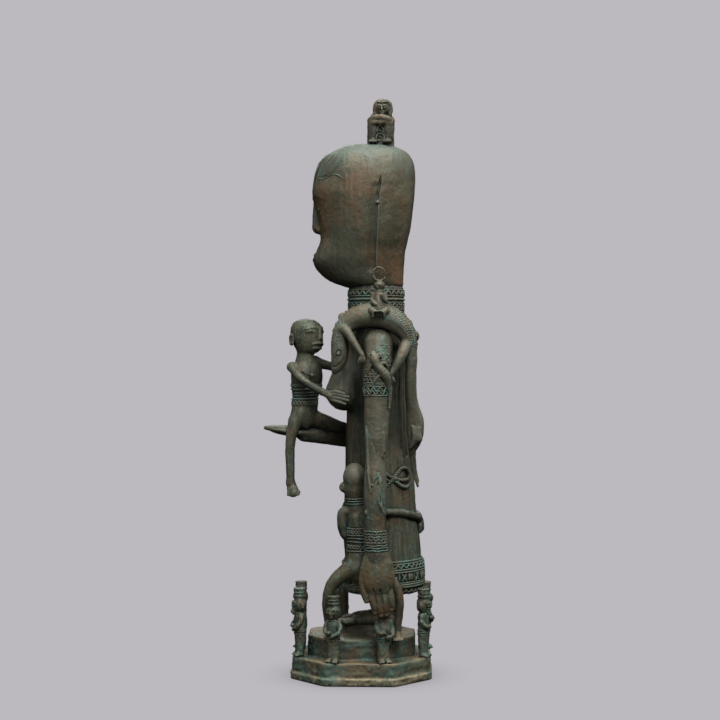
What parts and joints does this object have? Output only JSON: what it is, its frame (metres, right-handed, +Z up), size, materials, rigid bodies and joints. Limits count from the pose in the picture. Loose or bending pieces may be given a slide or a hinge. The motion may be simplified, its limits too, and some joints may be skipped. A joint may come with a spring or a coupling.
{
  "type": "mother and child figure",
  "caption": "Tall cast bronze of a mother with a large mask-like head, carrying a child, on a stepped octagonal base with small attendants.",
  "frame": {"origin": "middle of the flat underside of the base", "axes": "+Z up, -X the way the mother looks, -Y her left side, from where the picture was taken"},
  "size_m": [0.2693, 0.2466, 0.9158],
  "materials": {
    "bronze": "cast bronze, olive brown with a dull blue-green patina in the hollows"
  },
  "bodies": {
    "root": {"mother_and_child_bronze": "bronze"}
  },
  "joints": []
}
